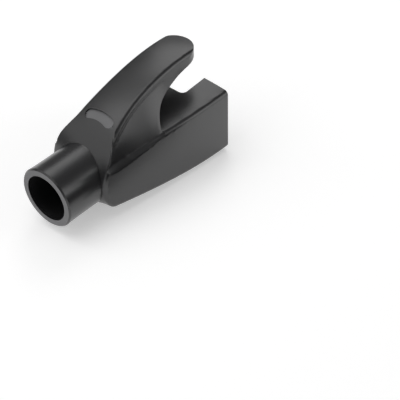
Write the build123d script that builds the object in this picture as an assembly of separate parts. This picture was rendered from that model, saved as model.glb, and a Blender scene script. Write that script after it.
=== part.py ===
from build123d import *
import math
import os

# A boot for a modular plug, moulded in one soft piece: a collar grips the cable, a sleeve
# slides over the rear of the plug, and a guard reaches forward over the plug's latch.
# Lengths are in millimetres. X runs from the cable end to the mouth, Z is up, and the
# two flanks mirror each other across the plane Y = 0.

# Collar round the cable
collar_length = 5.4
collar_diameter = 8.6
cable_bore = 6.6
collar_edge_chamfer = 0.2

# Sleeve over the plug
sleeve_length = 22.2
mouth_width = 14.6
mouth_height = 10.55
rear_width = 9.6
roof_fall = 0.75
roof_edge_radius = 0.7
floor_rise = 1.05
chin_length = 2.0
face_crown = 0.45
sleeve_edge_radius = 0.8

# Guard over the latch
guard_height = 5.3
guard_overhang = 0.05
guard_gap_length = 11.6
tab_width = 5.7
tab_thickness = 0.9
tip_droop = 0.2
root_width = 10.4
waist_reach = 4.4
back_crown = 0.45
guard_edge_radius = 0.7

# Scooped flanks under the guard's edges
guard_lip = 1.2
rear_shoulder_inset = 0.8
web_shoulder_inset = 0.5
rear_shoulder_angle = 45.0
web_shoulder_angle = 15.0
shoulder_end_angle = 82.0
scoop_cove_radius = 0.4
scoop_run_out = 7.3
crease_fall = 1.3
rear_crease_height = 8.0
foot_notch = 0.4

# Inside, for the plug body
cavity_width = 11.8
cavity_height = 6.75
cavity_depth = 8.4
roof_wall = 1.25
lead_in_height = 1.3
lead_in_depth = 0.15
funnel_length = 9.0
cavity_corner_radius = 0.3

# Notch in the roof that lets the latch root through
latch_slot_width = 6.2
latch_slot_length = 4.4
latch_slot_corner_radius = 0.8

# Shallow pockets across the back of the guard and across the floor
pocket_length = 4.8
pocket_width = 1.4
pocket_depth = 0.35
pocket_bow = 0.3
back_pocket_distance = 5.2
floor_pocket_distance = 4.5

# Places that follow from the sizes
collar_step = 0.1
rear_x = collar_length
mouth_x = rear_x + sleeve_length
tip_x = mouth_x + guard_overhang
web_x = mouth_x - guard_gap_length
axis_z = floor_rise + collar_step + collar_diameter / 2
top_z = mouth_height + guard_height
ceiling_z = mouth_height - roof_wall
cavity_x = mouth_x - cavity_depth
spare = 4.0


def between(start, end, share):
    return start + (end - start) * share


def half_width(x):
    """Half the width of the sleeve: widest at the mouth and drawn in towards the cable."""
    back_from_mouth = (mouth_x - x) / sleeve_length
    return mouth_width / 2 - (mouth_width - rear_width) / 2 * max(back_from_mouth, 0) ** 1.5


def guard_half_width(x):
    """Half the width of the guard's back: broad at the root, waisted, then even to the tip."""
    beyond_root = max(x - rear_x, 0) / waist_reach
    return tab_width / 2 + (root_width - tab_width) / 2 * math.exp(-(beyond_root**1.2))


def towards_web(x, rear, web):
    """A size that changes evenly from its value at the rear to its value at the web."""
    return between(rear, web, min(max((x - rear_x) / (web_x - rear_x), 0), 1))


def crease_height(x):
    """Height of the crease where a scooped flank meets the sleeve's shoulder."""
    return towards_web(x, rear_crease_height, mouth_height - crease_fall)


def on_back(along, up):
    """A point of the guard's back, as shares of the way from the collar's axis to the tip."""
    return between(rear_x, tip_x, along), between(axis_z, top_z, up)


def side_profile(y, crown, drop, chin_rise):
    """Outline seen from the side at one distance across; the insets make the faces crowned."""
    roof_z = mouth_height - crown
    tip_z = top_z - tip_droop - drop
    under_z = tip_z - tab_thickness
    web_z = mouth_height - roof_fall - crown
    steep = on_back(0.071, 0.393)
    shoulder = on_back(0.227, 0.662)
    crest = on_back(0.471, 0.877)
    with BuildSketch(Plane(origin=(0, y, 0), x_dir=(1, 0, 0), z_dir=(0, -1, 0))) as profile:
        with BuildLine():
            floor = ThreePointArc(
                (mouth_x, crown),
                (between(mouth_x, rear_x, 0.49), floor_rise * 0.35 + crown),
                (rear_x + chin_length + 0.2 * chin_rise, floor_rise + chin_rise),
            )
            back = Spline(
                floor @ 1,
                (rear_x + drop, axis_z),
                (steep[0] + 0.9 * drop, steep[1] - 0.45 * drop),
                (shoulder[0] + 0.55 * drop, shoulder[1] - 0.85 * drop),
                (crest[0] + 0.2 * drop, crest[1] - drop),
                (tip_x, tip_z),
                tangents=[(-1, 0.35), (1, -0.12)],
                tangent_scalars=[1, 1],
            )
            tip = Line(back @ 1, (tip_x, under_z))
            under = Spline(
                tip @ 1,
                (between(web_x, tip_x, 0.378), between(web_z, under_z, 0.683)),
                (between(web_x, tip_x, 0.12), between(web_z, under_z, 0.396)),
                (web_x, web_z),
                tangents=[(-1, -0.27), (-0.35, -1)],
                tangent_scalars=[1, 1],
            )
            roof = Line(under @ 1, (mouth_x, roof_z))
            Line(roof @ 1, floor @ 0)
        make_face()
    return profile.sketch.faces()[0], back


def crowned_blank():
    """Sleeve and guard as one block: three side profiles joined across the width."""
    reach = mouth_width / 2 + 0.3
    crown = face_crown * (2 * reach / mouth_width) ** 2
    drop = back_crown * (2 * reach / rear_width) ** 2
    chin_rise = 1.3 * face_crown * (2 * reach / rear_width) ** 2
    left = side_profile(-reach, crown, drop, chin_rise)[0]
    middle, back = side_profile(0, 0, 0, 0)
    right = side_profile(reach, crown, drop, chin_rise)[0]
    return loft([left, middle, right]), back


def plan_block():
    """Everything inside the tapered plan outline of the sleeve."""
    start = rear_x - spare
    xs = [between(start, mouth_x, i / 4) for i in range(5)]
    with BuildSketch() as plan:
        with BuildLine():
            side = Spline(*[(x, half_width(x)) for x in xs])
            ahead = Line(side @ 1, (tip_x + spare, mouth_width / 2))
            Line(ahead @ 1, (tip_x + spare, 0))
            Line(side @ 0, (start, 0))
            mirror(about=Plane.XZ)
        make_face()
    return extrude(plan.sketch, top_z + spare)


def tapered_block(blank):
    """The block cut to its plan, with the two long edges of the floor rounded."""
    body = blank & plan_block()
    long_edges = body.edges().filter_by(lambda e: e.length > sleeve_length / 2)
    low_edges = long_edges.filter_by(lambda e: e.center().Z < mouth_height / 4)
    floor_edges = low_edges.filter_by(lambda e: abs(e.center().Y) > mouth_width / 8)
    return fillet(floor_edges, sleeve_edge_radius)


def height_on(line, x):
    """Height of the guard's back above the point x."""
    low, high = 0.25, 1.0
    for _ in range(30):
        middle = (low + high) / 2
        low, high = (middle, high) if (line @ middle).X < x else (low, middle)
    return (line @ low).Y


def scoop_section(back, x):
    """A scoop's section: upright beside the guard, leaning out below its edge, coved into the
    crease, then rounding over the sleeve's shoulder to meet its side."""
    edge = guard_half_width(x)
    crease_z = crease_height(x)
    rise = max(height_on(back, min(x, tip_x - 0.1)) - crease_z, 1.0)
    edge_z = crease_z + max(rise - guard_lip, rise / 2)
    outside = mouth_width / 2 + spare
    ceiling = top_z + spare
    run_out = min(max((x - web_x) / scoop_run_out, 0), 1)
    inset = towards_web(x, rear_shoulder_inset, web_shoulder_inset)
    foot = edge + max(half_width(x) - inset - edge, 0.1) * (1 - run_out) + 0.1 * run_out
    lean = math.atan2(foot - edge, edge_z - crease_z)
    tilt_in = math.radians(towards_web(x, rear_shoulder_angle, web_shoulder_angle))
    tilt_out = math.radians(shoulder_end_angle)
    turn = math.pi / 2 - lean - tilt_in
    reach = scoop_cove_radius * math.tan(turn / 2)
    start = (foot - reach * math.sin(lean), crease_z + reach * math.cos(lean))
    crease = (foot + reach * math.cos(tilt_in), crease_z - reach * math.sin(tilt_in))
    radius = (inset + 0.03) / (math.sin(tilt_out) - math.sin(tilt_in))
    side = (
        crease[0] + radius * (math.sin(tilt_out) - math.sin(tilt_in)),
        crease[1] - radius * (math.cos(tilt_in) - math.cos(tilt_out)),
    )
    with BuildSketch(Plane(origin=(x, 0, 0), x_dir=(0, 1, 0), z_dir=(1, 0, 0))) as section:
        with BuildLine():
            Line((edge, ceiling), (edge, edge_z))
            Line((edge, edge_z), start)
            TangentArc(start, crease, tangent=(math.sin(lean), -math.cos(lean)))
            TangentArc(crease, side, tangent=(math.cos(tilt_in), -math.sin(tilt_in)))
            Line(side, (outside, side[1]))
            Line((outside, side[1]), (outside, ceiling))
            Line((outside, ceiling), (edge, ceiling))
        make_face()
    return section.sketch.faces()[0]


def scoop(back):
    """The hollow beside the guard, from its root past the tip of the tab."""
    count = 15
    start = rear_x + 0.35
    stations = [between(start, tip_x + spare, i / count) for i in range(count + 1)]
    return loft([scoop_section(back, x) for x in stations])


def below_the_roof():
    """The room ahead of the web that the scoops leave whole, up to just above the roof."""
    end_x = mouth_x + 2 * spare
    slope = roof_fall / guard_gap_length
    start_z = mouth_height - roof_fall + 0.03
    with BuildSketch(Plane.XZ) as side:
        with BuildLine():
            Polyline(
                (web_x, -spare),
                (end_x, -spare),
                (end_x, start_z + slope * (end_x - web_x)),
                (web_x + foot_notch, start_z),
                (web_x, crease_height(web_x) - 0.05),
                close=True,
            )
        make_face()
    return extrude(side.sketch, mouth_width, both=True)


def scooped_body(blank, back):
    """Sleeve and guard with the hollow flanks, which end in a crease along the sleeve."""
    body = tapered_block(blank)
    hollow = scoop(back) - below_the_roof()
    return body - [hollow, mirror(hollow, about=Plane.XZ)]


def tab_end_trim():
    """What lies outside the round end of the tab, above the sleeve."""
    centre_x = tip_x - tab_width / 2
    with BuildSketch(Plane.XY.offset(mouth_height + 1)) as outside:
        with Locations((centre_x + spare, 0)):
            Rectangle(2 * spare, 3 * tab_width)
        with Locations((centre_x, 0)):
            Circle(tab_width / 2, mode=Mode.SUBTRACT)
    return extrude(outside.sketch, guard_height + spare)


def collar():
    """The tube that grips the cable, running into the sleeve's rear."""
    length = collar_length + chin_length + 1.5
    tube = Plane.YZ * Cylinder(collar_diameter / 2, length, align=(Align.CENTER, Align.CENTER, Align.MIN))
    tube = chamfer(tube.edges().sort_by(Axis.X)[0], collar_edge_chamfer)
    return Pos(0, 0, axis_z) * tube


def across(x, z):
    """A plane square to the length, with its own X across the part and Y upwards."""
    return Plane(origin=(x, 0, z), x_dir=(0, 1, 0), z_dir=(1, 0, 0))


def plug_room():
    """The hollow inside: the plug's cavity with its lead-in, narrowing to the cable's bore."""
    bore_end = cavity_x - funnel_length
    floor_z = ceiling_z - cavity_height
    room = across(cavity_x, ceiling_z - cavity_height / 2) * RectangleRounded(
        cavity_width, cavity_height, cavity_corner_radius
    )
    narrow = across(bore_end, axis_z) * Circle(cable_bore / 2)
    funnel = loft([narrow.faces()[0], room.faces()[0]], ruled=True)
    bore = extrude(across(-1, axis_z) * Circle(cable_bore / 2), bore_end + 1)
    with BuildSketch(Plane.XZ) as bevel:
        with BuildLine():
            Polyline(
                (mouth_x - lead_in_depth, floor_z + 0.5),
                (mouth_x - lead_in_depth, floor_z),
                (mouth_x, floor_z - lead_in_height),
                (mouth_x + spare, floor_z - lead_in_height),
                (mouth_x + spare, floor_z + 0.5),
                close=True,
            )
        make_face()
    lead_in = extrude(bevel.sketch, cavity_width / 2, both=True)
    return [extrude(room, cavity_depth + spare), lead_in, funnel, bore]


def latch_slot():
    """The notch in the roof, open at the mouth, with rounded inner corners."""
    length = latch_slot_length + spare
    with BuildSketch(Plane.XY.offset(ceiling_z - 1)) as notch:
        with Locations((mouth_x - latch_slot_length + length / 2, 0)):
            Rectangle(length, latch_slot_width)
        inner = notch.vertices().sort_by(Axis.X)[:2]
        fillet(inner, latch_slot_corner_radius)
    return extrude(notch.sketch, roof_wall + 2)


def arc_pocket(x, z, rise, outward):
    """A bowed slot sunk square to a crowned face that climbs by the given rise per length."""
    facing = Vector(-rise, 0, 1) * outward
    plane = Plane(origin=(x, 0, z), x_dir=(0, 1, 0), z_dir=facing)
    half = (pocket_length - pocket_width) / 2
    bow = pocket_bow if plane.y_dir.X < 0 else -pocket_bow
    with BuildSketch(plane) as slot:
        with BuildLine(mode=Mode.PRIVATE) as centre:
            ThreePointArc((-half, bow), (0, 0), (half, bow))
        SlotArc(centre.wire(), pocket_width)
    return extrude(slot.sketch, 2) + extrude(slot.sketch, -pocket_depth)


def pockets(back):
    """One pocket across the guard's back above the root, and one across the floor."""
    upper_x = rear_x + back_pocket_distance
    rise = height_on(back, upper_x + 0.5) - height_on(back, upper_x - 0.5)
    lower_x = rear_x + floor_pocket_distance
    upper = arc_pocket(upper_x, height_on(back, upper_x), rise, 1)
    lower = arc_pocket(lower_x, floor_rise * 0.79, -0.11, -1)
    return [upper, lower]


def softened(body, back):
    """The guard's edges and round end with the sleeve's rear corners, then the edges of the roof."""
    side_edges = body.edges().filter_by(lambda e: abs(e.center().Y) > tab_width / 5)
    long_edges = side_edges.filter_by(lambda e: e.length > sleeve_length / 8)
    crest_edges = long_edges.filter_by(lambda e: e.length > sleeve_length / 3)
    guard_edges = crest_edges.filter_by(lambda e: e.center().Z > height_on(back, e.center().X) - 0.6)
    guard_edges = guard_edges.filter_by(lambda e: e.center().Z > axis_z)
    rear_edges = long_edges.filter_by(lambda e: e.center().X < rear_x + 1 and e.center().Z > chin_length)
    body = fillet(guard_edges + rear_edges, guard_edge_radius)
    outer_edges = body.edges().filter_by(lambda e: abs(e.center().Y) > mouth_width * 0.4)
    sides = outer_edges.filter_by(lambda e: e.length > guard_gap_length * 0.65)
    roof_edges = sides.filter_by(lambda e: e.center().Z > mouth_height * 0.8 and e.center().X > web_x)
    return fillet(roof_edges, roof_edge_radius)


def build_boot():
    blank, back = crowned_blank()
    body = scooped_body(blank, back) - tab_end_trim()
    body = softened(body, back) + collar()
    for hollow in [*plug_room(), latch_slot(), *pockets(back)]:
        body = body - hollow
    return Pos(-tip_x / 2, 0, 0) * body


if __name__ == "__main__":
    os.makedirs("parts", exist_ok=True)
    boot = build_boot()
    print(boot.is_valid, boot.volume, len(boot.solids()), boot.bounding_box())
    export_step(boot, "parts/boot.step")
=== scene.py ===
import math

import bmesh
import bpy
from mathutils import Matrix, Vector


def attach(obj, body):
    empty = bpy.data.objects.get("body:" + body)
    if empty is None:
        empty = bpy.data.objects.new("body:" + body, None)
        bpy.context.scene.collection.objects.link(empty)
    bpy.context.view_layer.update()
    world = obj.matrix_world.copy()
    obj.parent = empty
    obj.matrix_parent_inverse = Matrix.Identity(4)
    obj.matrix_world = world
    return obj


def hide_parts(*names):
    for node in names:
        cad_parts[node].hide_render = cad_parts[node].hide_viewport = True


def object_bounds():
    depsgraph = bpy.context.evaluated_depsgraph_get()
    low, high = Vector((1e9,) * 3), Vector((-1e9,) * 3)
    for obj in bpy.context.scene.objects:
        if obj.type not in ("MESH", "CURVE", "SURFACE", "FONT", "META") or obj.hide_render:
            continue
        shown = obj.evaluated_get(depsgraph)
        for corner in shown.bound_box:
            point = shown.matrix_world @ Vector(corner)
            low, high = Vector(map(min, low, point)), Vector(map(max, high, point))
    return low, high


# %% [markdown]
# The frame is the solid of a strain relief boot, one soft moulding that slips over the rear of
# a modular plug. Everything below is in metres and takes its places from that solid, so the
# looks stay in step with it. X runs from the cable end to the mouth, and Z is up.

# %% Load the frame
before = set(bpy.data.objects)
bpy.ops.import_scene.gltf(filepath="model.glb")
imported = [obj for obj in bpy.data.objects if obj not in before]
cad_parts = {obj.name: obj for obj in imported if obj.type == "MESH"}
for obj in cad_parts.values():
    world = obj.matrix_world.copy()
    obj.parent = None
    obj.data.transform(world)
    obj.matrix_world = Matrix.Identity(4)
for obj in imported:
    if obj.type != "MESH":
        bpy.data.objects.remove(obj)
cad_low, cad_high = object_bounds()
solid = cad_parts["boot"]
mm = 0.001
length, width, height = cad_high - cad_low
print("box of the solid in mm:", [round(side / mm, 2) for side in (length, width, height)])

# %% [markdown]
# The camera comes first, because every later choice is judged through it. A product shot of
# a small part is taken from some way off with a long lens, which keeps the perspective calm.
# An aim point on the floor, two angles and a distance describe such a view in words that a
# photographer would use, and are easier to change than a matrix.

# %% Camera
aim_point = Vector((3.12, -11.25, 0.0)) * mm
camera_azimuth = math.radians(221.52)
camera_elevation = math.radians(41.37)
camera_distance = 157.7 * mm
camera_roll = math.radians(-1.27)
lens_length = 105.8


def direction(azimuth, elevation):
    """The unit vector that points from the aim point to a place on the sky."""
    flat = math.cos(elevation)
    return Vector((math.cos(azimuth) * flat, math.sin(azimuth) * flat, math.sin(elevation)))


camera_data = bpy.data.cameras.new("camera")
camera_data.lens = lens_length
camera_data.sensor_width = 36.0
camera_data.clip_start = 10 * mm
camera = bpy.data.objects.new("camera", camera_data)
bpy.context.scene.collection.objects.link(camera)
sight = direction(camera_azimuth, camera_elevation)
turn = sight.to_track_quat("Z", "Y").to_matrix() @ Matrix.Rotation(camera_roll, 3, "Z")
camera.matrix_world = Matrix.LocRotScale(aim_point + sight * camera_distance, turn, None)
bpy.context.scene.camera = camera
print("camera stands at mm:", [round(c / mm, 1) for c in camera.matrix_world.translation])

# %% [markdown]
# The part lies in a small dim tent with softboxes round it, and its satin skin shows each of
# them as a soft band. The overhead box, opposite the camera, draws the line along the top of
# the round collar. The side box lights the flank and the side wall. Three more boxes and a
# ceiling shade the swept back from end to end. Between them the tent stays dim, so that the
# plastic has something dark to reflect too.

# %% Lights
def softbox(name, azimuth, elevation, distance, across, along, strength):
    """A soft rectangular lamp that faces the part; strength is its brightness against white."""
    data = bpy.data.lights.new(name, "AREA")
    data.shape = "RECTANGLE"
    data.size = across
    data.size_y = along
    data.energy = strength * math.pi * across * along
    lamp = bpy.data.objects.new(name, data)
    bpy.context.scene.collection.objects.link(lamp)
    towards = direction(math.radians(azimuth), math.radians(elevation))
    facing = towards.to_track_quat("Z", "Y").to_matrix()
    lamp.matrix_world = Matrix.LocRotScale(towards * distance, facing, None)


softbox("overhead box", 34, 46, 0.4, 0.17, 0.20, 2.0)
softbox("side box", -54, 16, 0.4, 0.27, 0.23, 2.0)
softbox("rear box", 134, 42, 0.4, 0.32, 0.34, 0.88)
softbox("shoulder box", 82, 62, 0.4, 0.30, 0.22, 0.55)
softbox("front box", 172, 32, 0.4, 0.16, 0.20, 0.9)
softbox("ceiling", 140, 82, 0.5, 0.36, 0.36, 1.55)

# %% [markdown]
# Two black cards stand close beside the part and are seen only in its reflections. They draw
# the dark band along the collar and the dark line under the crease of the sleeve, as a
# photographer's flags do.

# %% Flags
black_card = bpy.data.materials.new("black card")
black_card.use_nodes = True
card_shader = black_card.node_tree.nodes["Principled BSDF"]
card_shader.inputs["Base Color"].default_value = (0.01, 0.01, 0.01, 1.0)
card_shader.inputs["Specular IOR Level"].default_value = 0.0


def black_flag(name, start, end, low, high):
    """An upright black card from start to end, between two heights, all in mm."""
    foot = [Vector((x, y, low)) * mm for x, y in (start, end)]
    top = [Vector((x, y, high)) * mm for x, y in (end, start)]
    mesh = bpy.data.meshes.new(name)
    mesh.from_pydata(foot + top, [], [(0, 1, 2, 3)])
    mesh.materials.append(black_card)
    flag = bpy.data.objects.new(name, mesh)
    bpy.context.scene.collection.objects.link(flag)
    flag.visible_camera = flag.visible_diffuse = flag.visible_shadow = False


black_flag("collar flag", (-14.0, -7.7), (-6.5, -10.6), 4.6, 9.2)
black_flag("sleeve flag", (-6.5, -10.6), (10.0, -17.0), 0.0, 12.7)

# %% World
world = bpy.data.worlds.new("tent")
world.use_nodes = True
bpy.context.scene.world = world
world.node_tree.nodes["Background"].inputs["Color"].default_value = (1.0, 1.0, 1.0, 1.0)
world.node_tree.nodes["Background"].inputs["Strength"].default_value = 0.2
bpy.context.scene.view_settings.view_transform = "Standard"

# %% [markdown]
# The floor is a sheet of white paper. It glows a little for the camera, so that it reads as
# a clean background while the shadow of the part stays on it, and a little more in
# reflections, where the real sheet would be lit by the whole tent.

# %% Floor
floor_reach = 1.5
floor_mesh = bpy.data.meshes.new("floor")
corners = [(-floor_reach, -floor_reach), (floor_reach, -floor_reach)]
corners += [(floor_reach, floor_reach), (-floor_reach, floor_reach)]
floor_mesh.from_pydata([(x, y, cad_low.z) for x, y in corners], [], [(0, 1, 2, 3)])
floor = bpy.data.objects.new("floor", floor_mesh)
bpy.context.scene.collection.objects.link(floor)
paper = bpy.data.materials.new("white paper")
paper.use_nodes = True
paper_nodes, paper_links = paper.node_tree.nodes, paper.node_tree.links
paper_shader = paper_nodes["Principled BSDF"]
paper_shader.inputs["Base Color"].default_value = (0.85, 0.85, 0.85, 1.0)
paper_shader.inputs["Roughness"].default_value = 0.9
paper_shader.inputs["Specular IOR Level"].default_value = 0.0
light_path = paper_nodes.new("ShaderNodeLightPath")
camera_glow = paper_nodes.new("ShaderNodeMath")
camera_glow.operation = "MULTIPLY"
camera_glow.inputs[1].default_value = 0.38
mirror_glow = paper_nodes.new("ShaderNodeMath")
mirror_glow.operation = "MULTIPLY"
mirror_glow.inputs[1].default_value = 0.6
glow = paper_nodes.new("ShaderNodeMath")
paper_links.new(light_path.outputs["Is Camera Ray"], camera_glow.inputs[0])
paper_links.new(light_path.outputs["Is Glossy Ray"], mirror_glow.inputs[0])
paper_links.new(camera_glow.outputs[0], glow.inputs[0])
paper_links.new(mirror_glow.outputs[0], glow.inputs[1])
paper_shader.inputs["Emission Color"].default_value = (1.0, 1.0, 1.0, 1.0)
paper_links.new(glow.outputs[0], paper_shader.inputs["Emission Strength"])
floor_mesh.materials.append(paper)

# %% [markdown]
# Moulded plastic is never one flat tone. The steel mould leaves a fine grain, and handling
# leaves slightly glossier and duller patches. The same grain shows on the plain skin and,
# stronger, on the sunken panels, so it is a node group with named inputs, built once and
# placed in every material.

# %% Grain group
def new_group(name, inputs, outputs):
    """An empty shader group with its sockets, given as {name: (kind, start value)}."""
    group = bpy.data.node_groups.new(name, "ShaderNodeTree")
    for label, (kind, start) in inputs.items():
        socket = group.interface.new_socket(label, in_out="INPUT", socket_type=kind)
        socket.default_value = start
    for label, kind in outputs.items():
        group.interface.new_socket(label, in_out="OUTPUT", socket_type=kind)
    start_node = group.nodes.new("NodeGroupInput")
    end_node = group.nodes.new("NodeGroupOutput")
    return group, start_node, end_node


grain_group, grain_in, grain_out = new_group(
    "moulded grain",
    {
        "Grain Size": ("NodeSocketFloat", 0.00012),
        "Patch Size": ("NodeSocketFloat", 0.004),
        "Colour": ("NodeSocketColor", (0.02, 0.02, 0.022, 1.0)),
        "Colour Change": ("NodeSocketFloat", 0.25),
    },
    {"Colour": "NodeSocketColor", "Patches": "NodeSocketFloat", "Height": "NodeSocketFloat"},
)
print("grain group sockets:", [item.name for item in grain_group.interface.items_tree])

# %% Wire the grain group
place = grain_group.nodes.new("ShaderNodeTexCoord")


def noise_of_size(group, size_socket, detail):
    """Noise on the object's own coordinates whose blobs are as large as the size socket says."""
    per_metre = group.nodes.new("ShaderNodeMath")
    per_metre.operation = "DIVIDE"
    per_metre.inputs[0].default_value = 1.0
    group.links.new(size_socket, per_metre.inputs[1])
    noise = group.nodes.new("ShaderNodeTexNoise")
    noise.inputs["Detail"].default_value = detail
    group.links.new(per_metre.outputs[0], noise.inputs["Scale"])
    group.links.new(place.outputs["Object"], noise.inputs["Vector"])
    return noise


fine = noise_of_size(grain_group, grain_in.outputs["Grain Size"], 2.0)
broad = noise_of_size(grain_group, grain_in.outputs["Patch Size"], 3.0)
shade = grain_group.nodes.new("ShaderNodeMapRange")
shade.inputs["To Min"].default_value = -1.0
grain_group.links.new(broad.outputs["Fac"], shade.inputs["Value"])
swing = grain_group.nodes.new("ShaderNodeMath")
swing.operation = "MULTIPLY"
grain_group.links.new(shade.outputs["Result"], swing.inputs[0])
grain_group.links.new(grain_in.outputs["Colour Change"], swing.inputs[1])
gain = grain_group.nodes.new("ShaderNodeMath")
gain.inputs[1].default_value = 1.0
grain_group.links.new(swing.outputs[0], gain.inputs[0])
tint = grain_group.nodes.new("ShaderNodeVectorMath")
tint.operation = "SCALE"
grain_group.links.new(grain_in.outputs["Colour"], tint.inputs[0])
grain_group.links.new(gain.outputs[0], tint.inputs["Scale"])
grain_group.links.new(tint.outputs["Vector"], grain_out.inputs["Colour"])
grain_group.links.new(broad.outputs["Fac"], grain_out.inputs["Patches"])
grain_group.links.new(fine.outputs["Fac"], grain_out.inputs["Height"])


# %% [markdown]
# Three finishes share the group. The skin is a dark charcoal with a satin gloss. The sunken
# panels and the collar's end are rougher, so they scatter more light and look a shade
# greyer. The inside is given painted shade: a darker colour and a weaker shine, so that
# the bore, the funnel and the plug's room read as deep and shadowed.

# %% Materials
def moulded_plastic(name, colour, roughness, grain_height, shine):
    """A moulded soft plastic: the shared grain drives its colour, gloss and bump."""
    material = bpy.data.materials.new(name)
    material.use_nodes = True
    nodes, links = material.node_tree.nodes, material.node_tree.links
    shader = nodes["Principled BSDF"]
    shader.inputs["IOR"].default_value = 1.5
    shader.inputs["Specular IOR Level"].default_value = shine
    grain = nodes.new("ShaderNodeGroup")
    grain.node_tree = grain_group
    grain.inputs["Colour"].default_value = (*colour, 1.0)
    links.new(grain.outputs["Colour"], shader.inputs["Base Color"])
    gloss = nodes.new("ShaderNodeMapRange")
    gloss.inputs["To Min"].default_value = roughness - 0.05
    gloss.inputs["To Max"].default_value = roughness + 0.05
    links.new(grain.outputs["Patches"], gloss.inputs["Value"])
    links.new(gloss.outputs["Result"], shader.inputs["Roughness"])
    bump = nodes.new("ShaderNodeBump")
    bump.inputs["Strength"].default_value = 0.5
    bump.inputs["Distance"].default_value = grain_height
    links.new(grain.outputs["Height"], bump.inputs["Height"])
    links.new(bump.outputs["Normal"], shader.inputs["Normal"])
    return material


skin = moulded_plastic("charcoal skin", (0.012, 0.012, 0.013), 0.31, 0.004 * mm, 0.68)
panel = moulded_plastic("sunken panel", (0.175, 0.175, 0.18), 0.6, 0.01 * mm, 0.66)
# The inside's darker colour and weaker shine are painted shade, standing in for the shadow deep in
# the bore.
shaded_inside = moulded_plastic("painted shade inside", (0.004, 0.004, 0.0044), 0.7, 0.01 * mm, 0.25)

# %% [markdown]
# The body itself follows the solid exactly, since it has to fit its plug. What the solid
# lacks is a skin that shades smoothly: its mesh is long loose triangles, and each bend of
# a few degrees shows as a facet under a glossy lamp. So a copy is welded and laid out again
# as even little cells, which a Remesh modifier does in one step while it keeps crisp edges.

# %% Even cells
cell_size = 0.165 * mm
grid_steps = 256
draft = bpy.data.objects.new("draft", solid.data.copy())
bpy.context.scene.collection.objects.link(draft)
welder = bmesh.new()
welder.from_mesh(draft.data)
bmesh.ops.remove_doubles(welder, verts=welder.verts, dist=0.0005 * mm)
welder.to_mesh(draft.data)
welder.free()
cells = draft.modifiers.new("even cells", "REMESH")
cells.mode = "SHARP"
cells.octree_depth = int(math.log2(grid_steps))
cells.scale = length / (cell_size * grid_steps)
cells.use_remove_disconnected = False
print("welded copy:", len(draft.data.vertices), "points; cells of", cell_size / mm, "mm")

# %% [markdown]
# The facets are still there as faint bends between groups of cells. They are eased by a
# Geometry Nodes tree that blurs the position of every point with its neighbours, many times
# over. A blur would also eat the rounded edges, so each point is blurred only as far as the
# surface round it is flat: the angle between neighbouring cells, itself blurred a little,
# is large on a rounded edge and small on a wide faceted face.

# %% Eased skin tree
skin_tree = bpy.data.node_groups.new("eased skin", "GeometryNodeTree")
skin_tree.interface.new_socket("Geometry", in_out="INPUT", socket_type="NodeSocketGeometry")
for label, kind, start in (
    ("Ease Steps", "NodeSocketInt", 60),
    ("Survey Steps", "NodeSocketInt", 3),
    ("Flat Bend", "NodeSocketFloat", math.radians(2.5)),
    ("Round Bend", "NodeSocketFloat", math.radians(5.0)),
    ("Crease Angle", "NodeSocketFloat", math.radians(35)),
    ("Material", "NodeSocketMaterial", skin),
):
    socket = skin_tree.interface.new_socket(label, in_out="INPUT", socket_type=kind)
    socket.default_value = start
skin_tree.interface.new_socket("Geometry", in_out="OUTPUT", socket_type="NodeSocketGeometry")
tree_in = skin_tree.nodes.new("NodeGroupInput")
tree_out = skin_tree.nodes.new("NodeGroupOutput")
link = skin_tree.links.new

# %% How flat each point is
bend = skin_tree.nodes.new("GeometryNodeInputMeshEdgeAngle")
survey = skin_tree.nodes.new("GeometryNodeBlurAttribute")
survey.data_type = "FLOAT"
link(bend.outputs["Unsigned Angle"], survey.inputs["Value"])
link(tree_in.outputs["Survey Steps"], survey.inputs["Iterations"])
flatness = skin_tree.nodes.new("ShaderNodeMapRange")
flatness.interpolation_type = "SMOOTHSTEP"
flatness.inputs["To Min"].default_value = 1.0
flatness.inputs["To Max"].default_value = 0.0
link(survey.outputs["Value"], flatness.inputs["Value"])
link(tree_in.outputs["Flat Bend"], flatness.inputs["From Min"])
link(tree_in.outputs["Round Bend"], flatness.inputs["From Max"])

# %% Ease the points
place_now = skin_tree.nodes.new("GeometryNodeInputPosition")
ease = skin_tree.nodes.new("GeometryNodeBlurAttribute")
ease.data_type = "FLOAT_VECTOR"
settle = skin_tree.nodes.new("GeometryNodeSetPosition")
keep_flatness = skin_tree.nodes.new("GeometryNodeCaptureAttribute")
keep_flatness.domain = "POINT"
keep_flatness.capture_items.new("FLOAT", "Flatness")
link(tree_in.outputs["Geometry"], keep_flatness.inputs["Geometry"])
link(flatness.outputs["Result"], keep_flatness.inputs["Flatness"])
link(place_now.outputs["Position"], ease.inputs["Value"])
link(tree_in.outputs["Ease Steps"], ease.inputs["Iterations"])
link(keep_flatness.outputs["Flatness"], ease.inputs["Weight"])
link(keep_flatness.outputs["Geometry"], settle.inputs["Geometry"])
link(ease.outputs["Value"], settle.inputs["Position"])

# %% Smooth shading with crisp creases
smooth_faces = skin_tree.nodes.new("GeometryNodeSetShadeSmooth")
smooth_edges = skin_tree.nodes.new("GeometryNodeSetShadeSmooth")
smooth_edges.domain = "EDGE"
gentle = skin_tree.nodes.new("FunctionNodeCompare")
gentle.operation = "LESS_THAN"
realize = skin_tree.nodes.new("GeometryNodeRealizeInstances")
dress = skin_tree.nodes.new("GeometryNodeSetMaterial")
link(settle.outputs["Geometry"], smooth_faces.inputs["Geometry"])
link(smooth_faces.outputs["Geometry"], smooth_edges.inputs["Geometry"])
link(bend.outputs["Unsigned Angle"], gentle.inputs["A"])
link(tree_in.outputs["Crease Angle"], gentle.inputs["B"])
link(gentle.outputs["Result"], smooth_edges.inputs["Shade Smooth"])
link(smooth_edges.outputs["Geometry"], realize.inputs["Geometry"])
link(realize.outputs["Geometry"], dress.inputs["Geometry"])
link(tree_in.outputs["Material"], dress.inputs["Material"])
link(dress.outputs["Geometry"], tree_out.inputs["Geometry"])

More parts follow.
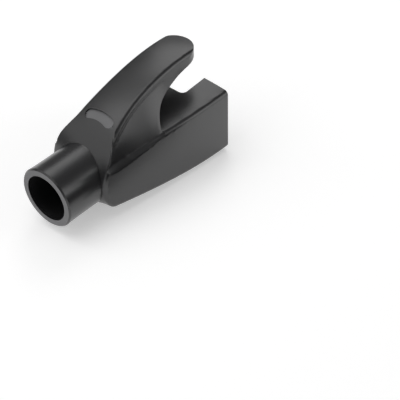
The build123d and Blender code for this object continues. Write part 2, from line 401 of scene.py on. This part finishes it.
# %% Apply the skin
modifier = draft.modifiers.new("eased skin", "NODES")
modifier.node_group = skin_tree
for item in skin_tree.interface.items_tree:
    if item.item_type == "SOCKET" and item.in_out == "INPUT" and item.name != "Geometry":
        modifier[item.identifier] = item.default_value
depsgraph = bpy.context.evaluated_depsgraph_get()
moulded = bpy.data.meshes.new_from_object(draft.evaluated_get(depsgraph), depsgraph=depsgraph)
bpy.data.objects.remove(draft)
moulded.name = "moulded_boot"
boot = bpy.data.objects.new("moulded_boot", moulded)
bpy.context.scene.collection.objects.link(boot)
print("skin:", len(moulded.vertices), "points,", len(moulded.polygons), "faces")

# %% [markdown]
# The new cells can lie a few thousandths of a millimetre past the solid's box. The size of
# the part is the solid's, so each point is held inside that box.

# %% Hold the skin inside the solid's box
for point in moulded.vertices:
    sides = zip(point.co, cad_low, cad_high)
    point.co = [min(max(at, low), high) for at, low, high in sides]

# %% [markdown]
# The panels are found on the part itself. A ray shot straight at the middle of a pocket
# lands on its floor and tells where that floor is and which way it faces. Every face that
# lies in the same plane close by belongs to it. The collar's end is the flat ring at the
# lowest X. What lies inside the bore, the funnel and the plug's room gets the inside
# finish, whose dark colour and weak shine are painted shade.

# %% Find the panels
back_pocket_x, belly_pocket_x = -3.225 * mm, -3.925 * mm
pocket_across = 2.5 * mm
pocket_along = 1.3 * mm
plane_slack = 0.06 * mm
same_facing = 0.97


def pocket_floor(x, from_z, aim):
    """The point and the facing of a pocket's floor, found by a ray along Z."""
    _, point, normal, _ = solid.ray_cast(Vector((x, 0.0, from_z)), Vector((0.0, 0.0, aim)))
    return point, normal


back_pocket = pocket_floor(back_pocket_x, cad_high.z + mm, -1.0)
belly_pocket = pocket_floor(belly_pocket_x, cad_low.z - mm, 1.0)
print("pocket floors at mm:", [round(point.z / mm, 2) for point, _ in (back_pocket, belly_pocket)])


def on_floor(face, pocket):
    """Whether a face lies in the plane of a pocket's floor, close to its middle."""
    point, normal = pocket
    away = face.center - point
    near = abs(away.y) < pocket_across and abs(away.x) < pocket_along
    level = abs(away.dot(normal)) < plane_slack
    return near and level and face.normal.dot(normal) > same_facing


# %% Give each face its finish
bore_height = 5.45 * mm
bore_reach = 3.35 * mm
funnel_start, room_start = -3.65 * mm, 5.3 * mm
room_half = 5.95 * mm
room_low, room_high = 2.4 * mm, 9.33 * mm
funnel_dip = 0.3 * mm
lip = 0.3 * mm
ring_slack = 0.03 * mm
ring_facing = -0.9


def on_ring(face):
    """Whether a face belongs to the flat end of the collar."""
    return face.center.x < cad_low.x + ring_slack and face.normal.x < ring_facing


def inside(face):
    """Whether a face lines the bore, the funnel or the plug's room."""
    x, y, z = face.center
    if x < cad_low.x + lip or x > cad_high.x - lip:
        return False
    if x < funnel_start:
        return math.hypot(y, z - bore_height) < bore_reach
    opened = min((x - funnel_start) / (room_start - funnel_start), 1.0)
    half = bore_reach + (room_half - bore_reach) * opened
    low = room_low - funnel_dip * (1 - opened)
    return abs(y) < half and low < z < room_high


# The third finish, on the faces inside, carries painted shade.
moulded.materials.clear()
for finish in (skin, panel, shaded_inside):
    moulded.materials.append(finish)
for face in moulded.polygons:
    face.material_index = 0
    if on_floor(face, back_pocket) or on_floor(face, belly_pocket) or on_ring(face):
        face.material_index = 1
    elif inside(face):
        face.material_index = 2
indices = [face.material_index for face in moulded.polygons]
counts = [indices.count(index) for index in range(3)]
print("faces of skin, panels and painted shade inside:", counts)

# %% Hand the piece to the frame
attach(boot, "root")
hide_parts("boot")
